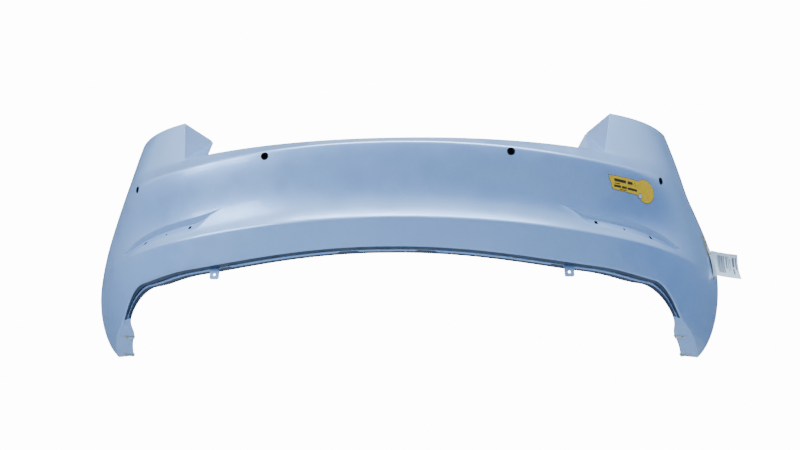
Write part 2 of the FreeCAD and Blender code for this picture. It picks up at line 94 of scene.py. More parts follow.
SENSORS = ((0.2035, 0.936), (0.603, 0.943))   # (plan parameter, height on the face)
SENSOR_HOLE_R = 0.010
POCKET_DEPTH, POCKET_SLOPE, POCKET_VALLEY, POCKET_GAP = 0.0115, 0.42, 0.56, 0.008
POCKET_FROM, POCKET_TO, POCKET_BLEND = 0.296, 0.668, 0.02
POCKET_LOW_ROUND, POCKET_TOP_ROUND, POCKET_VALLEY_ROUND = 0.06, 0.015, 0.03
FACE_HEIGHT = 0.19
# edges of the reflector pocket as (plan parameter, height on the face), led on to both ends of the face
POCKET_TOP = ((0.0, 0.38), (0.15, 0.40), (0.25, 0.368), (0.30, 0.348), (0.345, 0.316), (0.419, 0.300),
              (0.517, 0.272), (0.60, 0.205), (0.664, 0.106), (0.76, 0.20), (1.0, 0.34))
POCKET_LOW = ((0.0, 0.20), (0.15, 0.22), (0.25, 0.30), (0.30, 0.340), (0.337, 0.255), (0.361, 0.147),
              (0.42, 0.124), (0.475, 0.113), (0.547, 0.091), (0.645, 0.073), (0.664, 0.096), (0.76, 0.10),
              (1.0, 0.14))
REFLECTOR_HOLES = ((0.387, 0.184, 0.0046, True), (0.4625, 0.160, 0.0030, False), (0.548, 0.130, 0.0052, True))
CUP_DEPTH, CUP_WALL, CUP_SPREAD, CUP_GAP = 0.0035, 0.0012, 1.15, 0.0002
SQUARE_REACH = 1.42   # from a square's middle to its corner, by its half side

SLOTS = ((0.0, 0.048), (0.074, 0.297), (0.328, 0.672))
SLOT_NEAR, SLOT_FAR, SLOT_DEPTH = 0.61, 0.50, 0.0022   # heights on the flange patch, and depth
SLOT_END, SLOT_LAP = 0.006, 0.002
DARK_BEYOND_SLOT = 1.06   # how far the painted shade of the underside runs past the outer slots
RIB_AT, RIB_HALF, RIB_H = 0.440, 0.040, 0.0030
TAB_X, TAB_W, TAB_H, TAB_T, TAB_ROOT = 0.444, 0.026, 0.030, 0.003, 0.47
TAB_HOLE_R, TAB_HOLE_UP, TAB_LAP, TAB_EDGE = 0.0032, 0.012, 0.0015, 0.0004
LEG_HOLES, LEG_HOLE_R, LEG_HOLE_HEIGHT = (0.775, 0.880), 0.0036, 0.42

ZONE = EAR_ROOT - EAR_FLARE   # plan parameter where the outer columns start
COLUMN, OUTER_COLUMNS = 0.004, 176   # width of an inner column, number of outer ones
BISECTIONS = 40
MERGE = 4e-6   # points closer than this are one
ORIGIN = np.array((0.0, LOCATOR_Y, SHELF_Z - STEP_DOWN))


def to_row(points):
    return np.asarray(points, float) - ORIGIN


# ---- formulas ----
def smooth(x):
    x = np.clip(x, 0.0, 1.0)
    return x * x * (3 - 2 * x)


def over(s, span):
    """Smooth step that begins at a plan parameter and takes a given stretch of it."""
    return smooth((s - span[0]) / span[1])


def bezier(p, s):
    return (1 - s)**3 * p[0] + 3 * (1 - s)**2 * s * p[1] + 3 * (1 - s) * s * s * p[2] + s**3 * p[3]


def bezier_slope(p, s):
    return 3 * (1 - s)**2 * (p[1] - p[0]) + 6 * (1 - s) * s * (p[2] - p[1]) + 3 * s * s * (p[3] - p[2])


def curve_through(points):
    """Smooth function through (x, y) points, level beyond both ends."""
    x, y = np.array(points, float).T
    slope = np.gradient(y, x)

    def value(q):
        q = np.clip(q, x[0], x[-1])
        i = np.clip(np.searchsorted(x, q) - 1, 0, len(x) - 2)
        h = x[i + 1] - x[i]
        t = (q - x[i]) / h
        rise = y[i] * (1 + 2 * t) * (1 - t)**2 + y[i + 1] * t * t * (3 - 2 * t)
        return rise + h * t * (1 - t) * (slope[i] * (1 - t) - slope[i + 1] * t)

    return value


def at(x, y, z):
    x, y, z = np.broadcast_arrays(x, y, z)
    return np.stack((x, y, z), axis=-1).astype(float)


def plan(curve, s):
    xs, ys = zip(*curve)
    return bezier(xs, s), bezier(ys, s)


def inward(curve, s):
    """Horizontal unit normal that points into the car."""
    xs, ys = zip(*curve)
    dx, dy = bezier_slope(xs, s), bezier_slope(ys, s)
    length = np.hypot(dx, dy)
    return at(-dy / length, dx / length, 0.0)


def scaled(vectors, factors):
    return vectors * np.asarray(factors)[..., None]


# ---- rails and patches of the right half; s runs from 0 at the middle to 1 at the wing's end ----
def crest(s):
    x, y = plan(CREST_PLAN, s)
    return at(x, y, CREST_Z - CREST_DIP * np.sin(math.pi * s / CREST_DIP_SPAN)**2)


def belly(s):
    x, y = plan(BELLY_PLAN, s)
    return at(x, y, BELLY_Z - BELLY_DROP * smooth(s / BELLY_DROP_END) - BELLY_TAIL * s**4)


def ear_top(s):
    x, y = plan(EAR_PLAN, s)
    return at(x, y, EAR_Z + EAR_RISE * over(s, EAR_RISE_SPAN))


def shelf(s):
    x, y = plan(CREST_PLAN, s)
    dip = SHELF_DIP * np.sin(math.pi * np.minimum(s, SHELF_DIP_END) / (2 * SHELF_DIP_END))**2
    edge = at(x, y, SHELF_Z - dip) + inward(CREST_PLAN, s) * SHELF_W
    low, high = crest(s), ear_top(s)
    melted = low + (high - low) * SHELF_MELT
    return edge + scaled(melted - edge, over(s, SHELF_MERGE_SPAN))


def low_edge_z(s):
    corner = CORNER_DROP * over(s, CORNER_SPAN) + LEG_DROP * over(s, LEG_SPAN)
    return LOW_Z - CENTRE_RISE * over(s, CENTRE_SPAN) - FLANK_RISE * over(s, FLANK_SPAN) - corner


def low_face(s, z):
    top = belly(s)
    drop = np.maximum(top[..., 2] - z, 0.0)
    u = np.minimum(drop / TUCK_HEIGHT, 0.999)
    inset = UNDERCUT * (1 - s) * drop + TUCK * s**3 * (1 - np.sqrt(1 - u * u))
    return at(top[..., 0], top[..., 1], z) + scaled(inward(BELLY_PLAN, s), inset)


def slot_mask(s):
    """1 beside a slot of the lower flange, 0 where the flange is plain."""
    mask = 0.0 * s
    for start, end in SLOTS:
        begun = smooth((s - start) / SLOT_END + (start == 0.0))
        mask = np.maximum(mask, begun * smooth((end - s) / SLOT_END))
    return mask


def flange_patch(s, v):
    edge = low_face(s, low_edge_z(s))
    corner = (FLANGE_W - CORNER_FLANGE_W) * over(s, NARROWING_SPAN)
    leg = (LEG_FLANGE_W - CORNER_FLANGE_W) * over(s, WIDENING_SPAN)
    width = FLANGE_W - corner + leg
    rib = RIB_H * np.maximum(1 - np.abs(v - RIB_AT) / RIB_HALF, 0) * slot_mask(s)
    return edge + scaled(inward(BELLY_PLAN, s), width * (1 - v)) + at(0.0, 0.0, -rib)


def lower_patch(s, v):
    low = low_edge_z(s)
    return low_face(s, low + (belly(s)[..., 2] - low) * v)


pocket_low, upper_guide = curve_through(POCKET_LOW), curve_through(POCKET_TOP)


def pocket_top(s):
    return np.maximum(upper_guide(s), pocket_low(s) + POCKET_GAP)


def pocket_depth(s, v):
    """How far the face is pushed in: a shallow V under a crisp upper edge."""
    low, high = pocket_low(s), pocket_top(s)
    w = np.clip((v - low) / (high - low), 0, 1)
    floor = (np.sqrt(w * w + POCKET_LOW_ROUND**2) - POCKET_LOW_ROUND) / POCKET_VALLEY
    wall = (np.sqrt((1 - w)**2 + POCKET_TOP_ROUND**2) - POCKET_TOP_ROUND) / (1 - POCKET_VALLEY)
    shape = np.maximum(0.5 * (floor + wall - np.sqrt((floor - wall)**2 + POCKET_VALLEY_ROUND)), 0)
    deepest = POCKET_DEPTH * np.tanh(POCKET_SLOPE * (high - low) * FACE_HEIGHT / POCKET_DEPTH)
    within = smooth((s - POCKET_FROM) / POCKET_BLEND) * smooth((POCKET_TO - s) / POCKET_BLEND)
    return shape * deepest * within


def face_patch(s, v):
    low, high = belly(s), crest(s)
    t = 1 - v
    pinch = 27 / 4 * t * t * v * HOLLOW * (1 - over(s, HOLLOW_FADE_SPAN))
    swell = 4 * t * v * SWELL * over(s, SWELL_SPAN)
    push = pinch - swell + pocket_depth(s, v)
    return low + scaled(high - low, v) + scaled(inward(BELLY_PLAN, s), push)


def shelf_patch(s, v):
    return crest(s) + scaled(shelf(s) - crest(s), v)


def ear_patch(s, v):
    along = (s - EAR_ROOT) / (1 - EAR_ROOT)
    low, top = shelf(s), ear_top(EAR_START + (1 - EAR_START) * along)
    return low + scaled(top - low, v)


def step_patch(s, a):
    """Step and flat of the top flange; a is the distance in front of the shelf."""
    return shelf(s) + scaled(inward(CREST_PLAN, s), a) + at(0.0, 0.0, -STEP_DOWN * smooth(a / STEP_RUN))


def normal(patch, s, v):
    d = 1e-4
    across = patch(s + d, v) - patch(s - d, v)
    up = patch(s, np.minimum(v + d, 1)) - patch(s, np.maximum(v - d, 0))
    n = np.cross(across, up)
    return n / np.linalg.norm(n, axis=-1, keepdims=True)


# ---- rows of the skin's grid, each a function of s ----
def height(patch, s):
    return np.linalg.norm(patch(s, 1.0 + 0 * s) - patch(s, 0 * s), axis=-1)


def edge_radius(start, gain, span):
    return lambda s: start + gain * over(s, span)


low_corner_r, belly_r = edge_radius(*LOW_CORNER_R), edge_radius(*BELLY_R)
crest_r, ear_r = edge_radius(*CREST_R), edge_radius(*EAR_R)


def patch_rows(patch, start, end, shares):
    """Rows between two guides; a guide gives the height on the patch at s."""
    def row(share):
        return lambda s: patch(s, start(s) + (end(s) - start(s)) * share)

    return [row(share) for share in shares]


def corner_rows(first, second, radius, count):
    """Rows round the corner between the top of one patch and the bottom of the next."""
    def row(t):
        def points(s):
            a = first(s, 1 - radius(s) / height(first, s))
            b = second(s, radius(s) / height(second, s))
            return a * (1 - t)**2 + second(s, 0 * s) * (2 * t * (1 - t)) + b * t * t

        return points

    return [row(t) for t in np.linspace(0, 1, count + 2)[1:-1]]


def lowest(radius, patch):
    return lambda s: radius(s) / height(patch, s)


def highest(radius, patch):
    return lambda s: 1 - radius(s) / height(patch, s)


def level(v):
    return lambda s: v + 0 * s


def even(count):
    return np.linspace(0, 1, count)


POCKET_SHARES = (0.05, 0.1, 0.17, 0.25, 0.33, 0.41, 0.47, 0.52, 0.56, 0.6, 0.65, 0.72, 0.8, 0.88, 0.95, 0.985)
ABOVE_POCKET = 0.012


def body_rows():
    """Rows from the lower flange to the front of the shelf, and the number of the row at the slots."""
    near_rib = [0.0, 0.15, 0.28, 0.35, RIB_AT - RIB_HALF, 0.42, RIB_AT, 0.46, RIB_AT + RIB_HALF]
    rows = patch_rows(flange_patch, level(0.0), level(1.0), near_rib + [SLOT_FAR])
    slot_row = len(rows) - 1
    rows += patch_rows(flange_patch, level(SLOT_NEAR), highest(low_corner_r, flange_patch), even(4))
    rows += corner_rows(flange_patch, lower_patch, low_corner_r, 4)
    low_start, low_end = lowest(low_corner_r, lower_patch), highest(belly_r, lower_patch)
    rows += patch_rows(lower_patch, low_start, low_end, even(13))
    rows += corner_rows(lower_patch, face_patch, belly_r, 7)
    rows += patch_rows(face_patch, lowest(belly_r, face_patch), pocket_low, even(6))
    rows += patch_rows(face_patch, pocket_low, pocket_top, POCKET_SHARES)
    above = [0, ABOVE_POCKET] + list(even(32)[1:])
    rows += patch_rows(face_patch, pocket_top, highest(crest_r, face_patch), above)
    rows += corner_rows(face_patch, shelf_patch, crest_r, 6)
    rows += patch_rows(shelf_patch, lowest(crest_r, shelf_patch), highest(ear_r, shelf_patch), even(7))
    return rows, slot_row


def ear_rows():
    """Rows of the ear above the shelf, with the share of the ear's height that each starts at."""
    rows = corner_rows(shelf_patch, ear_patch, ear_r, 5)
    shares = [EAR_FOOT * t for t in even(7)[1:-1]]
    rows += patch_rows(ear_patch, lowest(ear_r, ear_patch), level(1.0), even(24))
    shares += list(EAR_FOOT + (1 - EAR_FOOT) * even(24))
    return rows, shares


# ---- trimming ----
def arch_y(z):
    """Edge of the wheel arch in side view."""
    return ARCH_Y - math.sqrt(max(ARCH_R**2 - (z - ARCH_Z)**2, 0))


seam_y = curve_through(((SEAM_LOW_Z, arch_y(SEAM_LOW_Z)),) + SEAM)


def trim_y(z):
    """Front edge of the wing at a height: the seam above, the wheel arch below."""
    return float(seam_y(z)) if z > SEAM_LOW_Z else arch_y(z)


def last_place(low, high, holds):
    """The last plan parameter between two at which something still holds."""
    for _ in range(BISECTIONS):
        mid = (low + high) / 2
        low, high = (mid, high) if holds(mid) else (low, mid)
    return low


def row_end(row):
    """Where a row meets the trimmed edge."""
    def kept(s):
        _, y, z = row(np.array([s]))[0]
        return y < trim_y(z) - LIP_R

    return last_place(0.5, 1.0, kept)


# ---- mesh building ----
# material slots; the wall's inner faces take the slot after that of their outer face
# UNDERSIDE paints shade on the lower edge's underside; SHADED paints shade inside slots and clip holes
PAINTED, UNDERSIDE, SHADED = 0, 2, 4


def add_grid(bm, grid, skip=None, slot=None):
    """Adds a grid of rows and columns; skip(i, j) leaves a face out, slot(i, j) gives its material."""
    verts = [[bm.verts.new(point) for point in line] for line in to_row(grid)]
    for i in range(len(verts) - 1):
        for j in range(len(verts[i]) - 1):
            if skip is None or not skip(i, j):
                face = bm.faces.new((verts[i][j], verts[i][j + 1], verts[i + 1][j + 1], verts[i + 1][j]))
                face.material_index = slot(i, j) if slot else PAINTED


def columns_between(start, end):
    x, y = plan(CREST_PLAN, np.array([start, end]))
    return max(int(math.hypot(x[1] - x[0], y[1] - y[0]) / COLUMN + 0.5), 2)


def inner_columns():
    """Plan parameters of the columns, with one at each end of a slot or of the top flange."""
    marks = [0.0, SLOTS[0][1], *SLOTS[1], SLOTS[2][0], TOP_FLANGE_END, RAMP_FOOT, ZONE]
    stations = [0.0]
    for start, end in zip(marks, marks[1:]):
        stations += list(np.linspace(start, end, columns_between(start, end) + 1)[1:])
    return np.array(stations)


def lip_columns(end, before, n, width):
    """Points of the lip that turns in at the end of a row."""
    forward = (end - before) / np.linalg.norm(end - before)
    turned = []
    for angle in (0.4, 0.8, 1.2, math.pi / 2):
        turned.append(end + forward * LIP_R * math.sin(angle) - n * LIP_R * (1 - math.cos(angle)))
    straight = max(width - LIP_R, 0.0005)
    turned += [turned[-1] - n * straight * 0.5, turned[-1] - n * straight]
    return turned


def row_normals(grid):
    """Unit normals at the last column of a grid."""
    along = grid[:, -1] - grid[:, -2]
    up = np.gradient(grid[:, -1], axis=0)
    n = np.cross(along, up)
    return n / np.linalg.norm(n, axis=1, keepdims=True)


def with_lip(grid, widths):
    n = row_normals(grid)
    lips = [lip_columns(grid[i, -1], grid[i, -2], n[i], widths[i]) for i in range(len(grid))]
    return np.concatenate([grid, np.array(lips)], axis=1)


def outer_grid(rows, starts):
    """Each row from its start to the trimmed edge."""
    return np.array([row(start + (row_end(row) - start) * even(OUTER_COLUMNS))
                     for row, start in zip(rows, starts)])


def in_slot(s):
    return any(start - 1e-4 < s < end + 1e-4 for start, end in SLOTS)


def round_edge(bm, line, radius):
    """Rounds the fold of the sheet that runs along a line of its points."""
    places = [Vector(p) for p in to_row(line)]
    on_line = {v for v in bm.verts if any((v.co - place).length < 1e-5 for place in places)}
    fold = [e for e in bm.edges if len(e.link_faces) == 2 and on_line.issuperset(e.verts)]
    bmesh.ops.bevel(bm, geom=fold, offset=radius, segments=4, profile=0.5, affect="EDGES", clamp_overlap=True)


def skin_half():
    """Outer surface of the right half, with its slots but no other holes yet."""
    bm = bmesh.new()
    rows, slot_row = body_rows()
    inner = inner_columns()
    rib_rows = (slot_row - 3, slot_row - 2, slot_row - 1)

    def inner_slot(i, j):
        # the flange's underside takes the painted shade, the rib keeps the paint
        return UNDERSIDE if i < slot_row + 4 and i not in rib_rows else PAINTED

    add_grid(bm, np.array([row(inner) for row in rows]),
             lambda i, j: i == slot_row and in_slot((inner[j] + inner[j + 1]) / 2), inner_slot)
    outer = outer_grid(rows, [ZONE] * len(rows))
    end = row_end(rows[slot_row])
    last_slot = int((SLOTS[-1][1] - ZONE) / (end - ZONE) * (OUTER_COLUMNS - 1) + 0.5)
    corner_row = slot_row + 6
    rise = np.linalg.norm(outer[:, -1] - outer[corner_row, -1], axis=1)
    widths = [LIP_CORNER if i <= corner_row else min(LIP_W, LIP_CORNER + LIP_GROWTH * rise[i])
              for i in range(len(rows))]
    # the painted shade runs a little past the outer slots
    add_grid(bm, with_lip(outer, widths), lambda i, j: i == slot_row and j < last_slot,
             lambda i, j: inner_slot(i, j) if j < last_slot * DARK_BEYOND_SLOT else PAINTED)

    upper, shares = ear_rows()
    starts = [ZONE + EAR_FLARE * math.sqrt(1 - (1 - min(h / EAR_FLARE_HEIGHT, 1))**2) for h in shares]
    ear = np.concatenate([outer[-1:], outer_grid(upper, starts)])
    add_grid(bm, with_lip(ear, [LIP_W] * len(ear)))

    flange_s = inner[inner < TOP_FLANGE_END + 1e-6]
    offsets = list(STEP_RUN * even(8)) + list(STEP_RUN + (TOP_FLANGE_W - STEP_RUN) * even(9)[1:])
    add_grid(bm, np.array([step_patch(flange_s, a + 0 * flange_s) for a in offsets]))

    foot_s = inner[inner > RAMP_FOOT - 1e-6]
    rim = np.concatenate([shelf_patch(foot_s, 1 + 0 * foot_s), ear[1:, 0]])
    rim[len(foot_s) - 1] = ear[0, 0]
    tip = EAR_TIP + (rim - rim[-1]) * RETURN_TIP_SIZE
    fan = np.array([rim * (1 - w) + tip * w for w in 1 - even(14)**1.3])
    add_grid(bm, fan.transpose(1, 0, 2))
    bmesh.ops.remove_doubles(bm, verts=bm.verts, dist=MERGE)
    round_edge(bm, rim[len(foot_s):], EAR_EDGE_R)
    return bm


HOLE_DEPTH, NUDGE = 0.012, 1e-6


def open_hole(bm, centre, axis, distance, reach):
    """Cuts a hole; distance(x, y) is the signed distance from its outline, in the plane across the axis."""
    centre, axis = Vector(to_row(centre)), Vector(axis).normalized()
    right = axis.cross(Vector((0, 0, 1)))
    if right.length < 0.3:   # the axis stands nearly upright
        right = axis.cross(Vector((0, 1, 0)))
    right.normalize()
    up = right.cross(axis).normalized()

    def flat(point):
        d = point - centre
        return d.dot(right), d.dot(up), d.dot(axis)

    def within(x, y, depth):
        return math.hypot(x, y) < reach and abs(depth) < HOLE_DEPTH

    def near(face):
        return within(*flat(face.calc_center_median())) and face.normal.dot(axis) > 0.2

    bm.faces.ensure_lookup_table()
    bm.normal_update()
    block = [f for f in bm.faces if near(f)]
    edges = {e for f in block for e in f.edges}
    bmesh.ops.subdivide_edges(bm, edges=list(edges), cuts=2, use_grid_fill=True)
    bm.normal_update()
    gone = [f for f in bm.faces if near(f) and distance(*flat(f.calc_center_median())[:2]) < 0]
    bmesh.ops.delete(bm, geom=gone, context="FACES")
    for vert in bm.verts:
        x, y, depth = old = flat(vert.co)
        if vert.is_boundary and within(x, y, depth):
            for _ in range(3):
                d = distance(x, y)
                gx = (distance(x + NUDGE, y) - d) / NUDGE
                gy = (distance(x, y + NUDGE) - d) / NUDGE
                x, y = x - gx * d, y - gy * d
            step = right * (x - old[0]) + up * (y - old[1])
            n = vert.normal
            vert.co += step - n * step.dot(n)


def round_hole(radius):
    return lambda x, y: math.hypot(x, y) - radius


def square_hole(half, corner=0.0006):
    def distance(x, y):
        qx, qy = abs(x) - half + corner, abs(y) - half + corner
        return math.hypot(max(qx, 0), max(qy, 0)) + min(max(qx, qy), 0) - corner

    return distance


def one(patch, s, v):
    """A single point of a patch and its normal."""
    s, v = np.array([s]), np.array([v])
    return patch(s, v)[0], normal(patch, s, v)[0]


def x_to_s(rail, x):
    """Plan parameter at which a rail reaches a given X."""
    return last_place(0.0, 1.0, lambda s: rail(np.array([s]))[0, 0] < x)


def closed_box(bm, centre, across, up, out, half, depth, wall):
    """Open-topped box behind a hole, its mouth towards out."""
    def ring(size, along):
        corners = ((-1, -1), (1, -1), (1, 1), (-1, 1))
        places = [centre + across * (size * i) + up * (size * j) + out * along for i, j in corners]
        return [bm.verts.new(place) for place in places]

    rings = [ring(half, 0.0), ring(half, -depth), ring(half + wall, -depth - wall), ring(half + wall, 0.0)]
    faces = [rings[1], rings[2][::-1]]
    for a, b in ((0, 1), (2, 3), (3, 0)):
        for k in range(4):
            n = (k + 1) % 4
            faces.append([rings[a][k], rings[a][n], rings[b][n], rings[b][k]])
    return [bm.faces.new(face) for face in faces]


def reflector_holes():
    """The reflector's clip holes on both sides: half size, place, and the outward and upward directions."""
    for s, v, half, _ in REFLECTOR_HOLES:
        centre, out = one(face_patch, s, v)
        up = np.array((0.0, 0.0, 1.0)) - out * out[2]
        up = up / np.linalg.norm(up)
        for side in (1, -1):
            flip = np.array((side, 1, 1))
            yield half, Vector(to_row(centre) * flip), Vector(out * flip), Vector(up * flip)


def darken_holes(skin, slot):
    """The walls of the reflector's clip holes get painted shade."""
    for half, point, out, _ in reflector_holes():
        for face in skin.data.polygons:
            away = face.center - point
            if away.length < half * SQUARE_REACH + SKIN and abs(face.normal.dot(out)) < 0.5:
                face.material_index = slot


def shading_cups(bm):
    """Blind cups behind the reflector's clip holes, in near-black plastic that paints shade into the holes.
    """
    made = []
    for half, point, out, up in reflector_holes():
        mouth = point - out * (SKIN + CUP_GAP)
        made += closed_box(bm, mouth, up.cross(out), up, out, half * CUP_SPREAD, CUP_DEPTH, CUP_WALL)
    return made


def shaded_slot_floors(bm):
    """Thin near-black floors that close the slots of the lower flange and paint shade into them."""
    made = []
    for start, end in SLOTS:
        first = -end if start == 0.0 else start
        for side in (1,) if start == 0.0 else (1, -1):
            places = np.linspace(first, end, int((end - first) / COLUMN) + 2)
            s = np.abs(places)
            flip = np.stack([np.where(places < 0, -side, side), 1 + 0 * s, 1 + 0 * s], axis=-1)
            far, near = (flange_patch(s, v + 0 * s) for v in (SLOT_FAR + SLOT_LAP, SLOT_NEAR - SLOT_LAP))
            out = normal(flange_patch, s, 0.5 * (SLOT_NEAR + SLOT_FAR) + 0 * s)
            rows = [far - out * SLOT_DEPTH, near - out * SLOT_DEPTH, near - out * SKIN, far - out * SKIN]
            rings = [[bm.verts.new(p) for p in to_row(row * flip)] for row in rows]
            for k in range(len(places) - 1):
                for a in range(4):
                    b = (a + 1) % 4
                    made.append(bm.faces.new((rings[a][k], rings[b][k], rings[b][k + 1], rings[a][k + 1])))
            for k in (0, -1):
                made.append(bm.faces.new([ring[k] for ring in rings]))
    return made


def add_to_skin(skin, slot, build):
    """Adds the closed shapes that build(bm) makes to the skin's mesh."""
    bm = bmesh.new()
    bm.from_mesh(skin.data)
    made = build(bm)
    for face in made:
        face.material_index = slot
    bmesh.ops.recalc_face_normals(bm, faces=made)
    bm.to_mesh(skin.data)
    bm.free()


def cut_holes(bm):
    for s, v in SENSORS:
        centre, n = one(face_patch, s, v)
        open_hole(bm, centre, n, round_hole(SENSOR_HOLE_R), SENSOR_HOLE_R + 0.004)
    for s, v, half, is_square in REFLECTOR_HOLES:
        centre, n = one(face_patch, s, v)
        outline = square_hole(half) if is_square else round_hole(half)
        open_hole(bm, centre, n, outline, half * SQUARE_REACH + 0.003)
    for s in LEG_HOLES:
        centre, n = one(flange_patch, s, LEG_HOLE_HEIGHT)
        open_hole(bm, centre, n, round_hole(LEG_HOLE_R), LEG_HOLE_R + 0.003)
    for x in CLIP_HOLE_X:
        s = x_to_s(crest, x)
        centre = step_patch(np.array([s]), np.array([LOCATOR_Y - SHELF_W]))[0]
        open_hole(bm, centre, (0, 0, 1), round_hole(CLIP_HOLE_R), CLIP_HOLE_R + 0.004)


def add_object(name, data):
    obj = bpy.data.objects.new(name, data)
    bpy.context.scene.collection.objects.link(obj)
    return obj


def make_object(name, bm, materials):
    mesh = bpy.data.meshes.new(name)
    bm.to_mesh(mesh)
    bm.free()
    for material in materials:
        mesh.materials.append(material)
    return add_object(name, mesh)


def shade(obj, degrees=34):
    """Smooth shading, with edges sharper than the angle kept crisp."""
    bm = bmesh.new()
    bm.from_mesh(obj.data)
    limit = math.radians(degrees)
    for face in bm.faces:
        face.smooth = True
    for edge in bm.edges:
        edge.smooth = len(edge.link_faces) != 2 or edge.calc_face_angle(0) < limit
    bm.to_mesh(obj.data)
    bm.free()


def thicken(obj, thickness, offset=-1.0, inner_slot=0):
    """Gives a sheet its wall, then replaces the mesh by what its modifiers make of it."""
    wall = obj.modifiers.new("wall", "SOLIDIFY")
    wall.thickness = thickness
    wall.offset = offset
    wall.use_even_offset = True
    wall.material_offset = inner_slot
    graph = bpy.context.evaluated_depsgraph_get()
    mesh = bpy.data.meshes.new_from_object(obj.evaluated_get(graph), depsgraph=graph)
    obj.modifiers.clear()
    obj.data = mesh


def build_skin(paint, bare, under, shaded):
    bm = skin_half()
    cut_holes(bm)
    skin = make_object("fascia_skin_painted", bm, [paint, bare, under, bare, shaded])
    skin.modifiers.new("left_half", "MIRROR").merge_threshold = MERGE
    thicken(skin, SKIN, inner_slot=1)
    # painted shade in the clip holes and slots
    darken_holes(skin, SHADED)
    add_to_skin(skin, SHADED, shading_cups)
    add_to_skin(skin, SHADED, shaded_slot_floors)
    shade(skin)
    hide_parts("fascia_skin")
    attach(skin, "root")
    return skin


# ---- small mouldings and papers ----
TO_REAR, TO_RIGHT = (0, -1, 0), (1, 0, 0)   # the way a paper's printed face looks
STUCK_LIFT, STUCK_T, PAPER_CELL = 0.0001, 0.0002, 0.003
INK_LIFT, INK_T = 0.00035, 0.00005


def sides(outline):
    return zip(outline, outline[1:] + outline[:1])


def flat_plate(outline, hole, thickness):
    """Plate with one hole, in its own plane; the outline runs round once."""
    bm = bmesh.new()
    loops = []
    for points in (outline, hole):
        verts = [bm.verts.new((x, 0, z)) for x, z in points]
        loops += [bm.edges.new(ends) for ends in sides(verts)]
    bmesh.ops.triangle_fill(bm, use_beauty=True, edges=loops, normal=(0, -1, 0))
    made = bmesh.ops.extrude_face_region(bm, geom=bm.faces[:])["geom"]
    moved = [v for v in made if isinstance(v, bmesh.types.BMVert)]
    bmesh.ops.translate(bm, verts=moved, vec=(0, thickness, 0))
    bmesh.ops.recalc_face_normals(bm, faces=bm.faces[:])
    return bm


def arc(cx, cz, radius, start, end, count):
    return [(cx + radius * math.cos(a), cz + radius * math.sin(a)) for a in np.linspace(start, end, count)]


def tab_outline():
    """Screw tab: wide shoulders above, two rounded corners below."""
    half, corner, shoulder = TAB_W / 2 - 0.001, 0.005, 0.006
    right = arc(half + shoulder, -shoulder, shoulder, math.pi / 2, math.pi, 6)
    right += arc(half - corner, -TAB_H + corner, corner, 0, -math.pi / 2, 6)
    return right + [(-x, z) for x, z in reversed(right)]


def build_tabs(paint):
    s = x_to_s(belly, TAB_X + TAB_W / 2 + 0.001)
    root = flange_patch(np.array([s]), np.array([TAB_ROOT]))[0]
    for side, name in ((1, "tab_right"), (-1, "tab_left")):
        hole = arc(0, TAB_HOLE_UP - TAB_H, TAB_HOLE_R, 0, 2 * math.pi, 25)[:-1]
        bm = flat_plate(tab_outline(), hole, TAB_T)
        sharp = [e for e in bm.edges if e.calc_face_angle(0) > 1.0]
        bmesh.ops.bevel(bm, geom=sharp, offset=TAB_EDGE, segments=1, affect="EDGES")
        place = to_row((TAB_X, root[1] - TAB_T, root[2] + TAB_LAP))
        bmesh.ops.translate(bm, verts=bm.verts, vec=(side * place[0], place[1], place[2]))
        tab = make_object(name, bm, [paint])
        shade(tab)
        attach(tab, "root")


def inside(point, outline):
    """Even-odd test of a point against a closed outline."""
    x, z = point
    odd = False
    for (ax, az), (bx, bz) in sides(outline):
        if (az > z) != (bz > z) and x < ax + (bx - ax) * (z - az) / (bz - az):
            odd = not odd
    return odd


def along_outline(outline, step):
    """The outline with more points on its long sides."""
    points = []
    for (ax, az), (bx, bz) in sides(outline):
        count = max(int(math.hypot(bx - ax, bz - az) / step), 1)
        points += [(ax + (bx - ax) * k / count, az + (bz - az) * k / count) for k in range(count)]
    return points


def patch_on(bm, outline, surface, lift, cell):
    """Adds a patch, meshed inside its outline and laid on surface(x, z), which gives point and normal."""
    rim = along_outline(outline, cell)
    xs, zs = zip(*rim)

    def clear_of_rim(x, z):
        return inside((x, z), rim) and min(math.hypot(x - rx, z - rz) for rx, rz in rim) > cell / 2

    grid = [(x, z) for x in np.arange(min(xs), max(xs), cell) for z in np.arange(min(zs), max(zs), cell)]
    clear = [q for q in grid if clear_of_rim(*q)]
    flat = [Vector(q) for q in rim + clear]
    border = [(k, (k + 1) % len(rim)) for k in range(len(rim))]
    points, _, faces = delaunay_2d_cdt(flat, border, [list(range(len(rim)))], 1, 1e-7)[:3]
    verts = []
    for q in points:
        point, n = surface(q.x, q.y)
        verts.append(bm.verts.new(point + n * lift))
    for face in faces:
        bm.faces.new([verts[k] for k in face])


def line_on(bm, outline, width, surface, lift, cell):
    """Adds a printed line of a given width just inside a closed outline."""
    rim = along_outline(outline, cell)
    cx, cz = sum(x for x, z in rim) / len(rim), sum(z for x, z in rim) / len(rim)
    rings = ([], [])
    for (ax, az), (x, z), (bx, bz) in zip(rim[-1:] + rim[:-1], rim, rim[1:] + rim[:1]):
        nx, nz = -(bz - az), bx - ax
        size = math.hypot(nx, nz) or 1.0
        toward = 1 if nx * (cx - x) + nz * (cz - z) > 0 else -1
        for ring, depth in zip(rings, (0.0, width)):
            point, n = surface(x + toward * nx / size * depth, z + toward * nz / size * depth)
            ring.append(bm.verts.new(point + n * lift))
    for k in range(len(rim)):
        m = (k + 1) % len(rim)
        bm.faces.new((rings[0][k], rings[0][m], rings[1][m], rings[1][k]))


